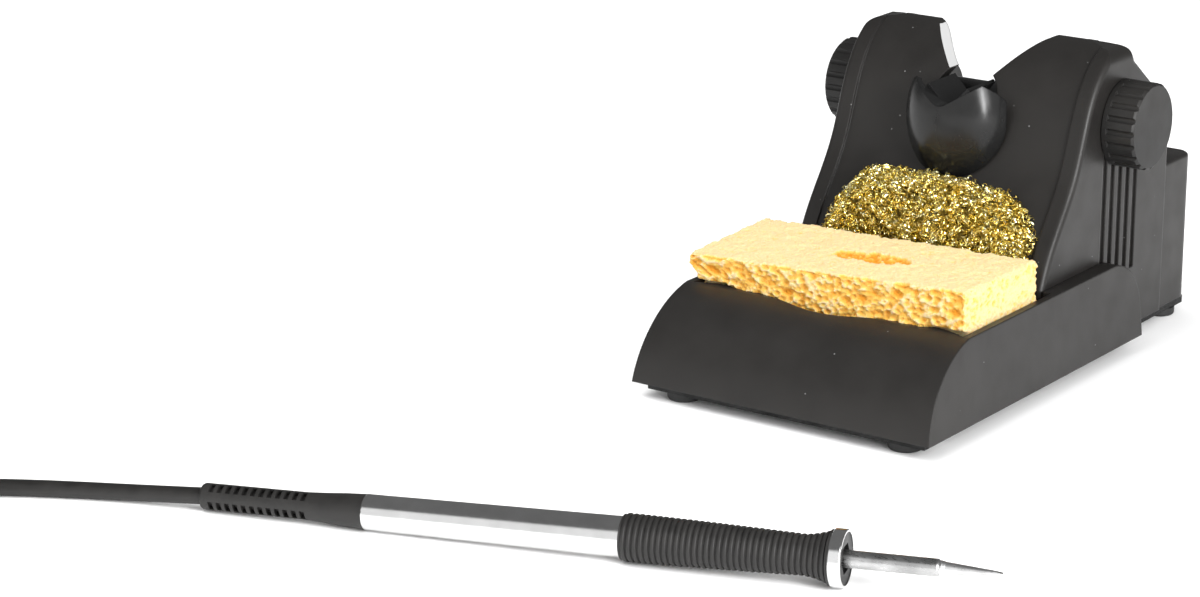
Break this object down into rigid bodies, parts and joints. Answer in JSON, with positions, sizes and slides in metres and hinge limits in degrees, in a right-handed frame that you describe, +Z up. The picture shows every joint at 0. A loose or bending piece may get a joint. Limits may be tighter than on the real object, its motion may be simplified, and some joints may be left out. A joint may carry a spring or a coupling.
{
  "type": "soldering iron station",
  "caption": "Weighted soldering iron rest with a tilting cradle, clamp knobs, cleaning sponge and brass wool, and a pencil soldering iron lying in front of it with its stored lead and plug.",
  "frame": {"origin": "middle of the floor that the rest and the iron cover, on the bench surface", "axes": "+X to the rest's right, +Y from its tray to its rear box, +Z up"},
  "size_m": [0.3642, 0.4096, 0.0953],
  "materials": {
    "stand_plastic": "satin black moulded plastic with a fine grain",
    "cradle_plastic": "glossier black heat-proof plastic",
    "knob_plastic": "black, coarse flutes",
    "plate_steel": "black coated steel",
    "screw_steel": "zinc plated",
    "insert_brass": "turned brass",
    "foot_rubber": "soft black rubber",
    "sponge_cellulose": "open cellulose pores, pale yellow skin",
    "wool_brass": "tangled bright flat wire",
    "tube_steel": "polished tube",
    "sleeve_steel": "plated",
    "grip_rubber": "soft black rubber with rounded ribs",
    "core_plastic": "black heat-proof plastic",
    "heater_ceramic": "ceramic rod",
    "board_green": "circuit board",
    "wire_copper": "insulated wire",
    "cord_jacket": "matt black jacket",
    "plug_metal": "nickel plated"
  },
  "bodies": {
    "stand": {"tray_shell": "stand_plastic", "tower_housing": "stand_plastic", "rear_box": "stand_plastic", "ballast_block": "plate_steel", "base_plate": "plate_steel", "base_screws": "screw_steel", "foot_front_left": "foot_rubber", "foot_front_right": "foot_rubber", "foot_rear_left": "foot_rubber", "foot_rear_right": "foot_rubber", "wool_tray": "stand_plastic"},
    "dish": {"sponge_dish": "stand_plastic"},
    "sponge_block": {"sponge": "sponge_cellulose"},
    "wool_ball": {"brass_wool": "wool_brass"},
    "cradle": {"cradle_cup": "cradle_plastic", "rest_channel": "cradle_plastic", "wear_strip": "screw_steel", "cup_screws": "screw_steel", "pivot_shaft": "screw_steel", "friction_washer_left": "screw_steel", "friction_washer_right": "screw_steel"},
    "left_knob": {"knob_left": "knob_plastic", "knob_insert_left": "insert_brass"},
    "right_knob": {"knob_right": "knob_plastic", "knob_insert_right": "insert_brass"},
    "iron": {"strain_relief": "grip_rubber", "cord_end": "cord_jacket", "handle_tube": "tube_steel", "grip": "grip_rubber", "collar_ring": "tube_steel", "nozzle": "core_plastic", "tip_socket": "core_plastic", "contact_rings": "insert_brass", "front_core": "core_plastic", "handle_board": "board_green", "lead_wires": "wire_copper", "cable_clamp": "core_plastic", "cord_lead": "cord_jacket", "cord_coil": "cord_jacket", "cord_tail": "cord_jacket", "plug_boot": "grip_rubber", "plug_body": "core_plastic", "plug_shell": "plug_metal", "plug_insert": "core_plastic", "plug_pins": "insert_brass"},
    "cartridge": {"tip_sleeve": "sleeve_steel", "tip_bit": "sleeve_steel", "heater_rod": "heater_ceramic"},
    "lock_ring": {"plug_ring": "plug_metal"}
  },
  "joints": [
    {"name": "cradle_tilt", "type": "hinge", "parent": "stand", "child": "cradle", "pos_m": [-0.0137, 0.1072, 0.0718], "axis": [-1, 0, 0], "range_deg": [0, 55]},
    {"name": "left_knob_turn", "type": "hinge", "parent": "cradle", "child": "left_knob", "pos_m": [-0.0617, 0.1072, 0.0718], "axis": [-1, 0, 0], "range_deg": [0, 270]},
    {"name": "right_knob_turn", "type": "hinge", "parent": "cradle", "child": "right_knob", "pos_m": [0.0343, 0.1072, 0.0718], "axis": [1, 0, 0], "range_deg": [0, 270]},
    {"name": "dish_lift", "type": "slide", "parent": "stand", "child": "dish", "axis": [0, 0, 1], "range_m": [0, 0.04]},
    {"name": "sponge_lift", "type": "slide", "parent": "dish", "child": "sponge_block", "axis": [0, 0, 1], "range_m": [0, 0.04]},
    {"name": "wool_lift", "type": "slide", "parent": "stand", "child": "wool_ball", "axis": [0, -0.5, 0.866], "range_m": [0, 0.04]},
    {"name": "iron_lift", "type": "slide", "parent": "stand", "child": "iron", "axis": [0, 0, 1], "range_m": [0, 0.12]},
    {"name": "cartridge_pull", "type": "slide", "parent": "iron", "child": "cartridge", "axis": [0.9545, 0.2973, 0.0212], "range_m": [0, 0.07]},
    {"name": "plug_ring_turn", "type": "hinge", "parent": "iron", "child": "lock_ring", "pos_m": [-0.24797, -0.23374, 0.0076], "axis": [-0.8269, -0.5623, 0], "range_deg": [0, 60]}
  ]
}
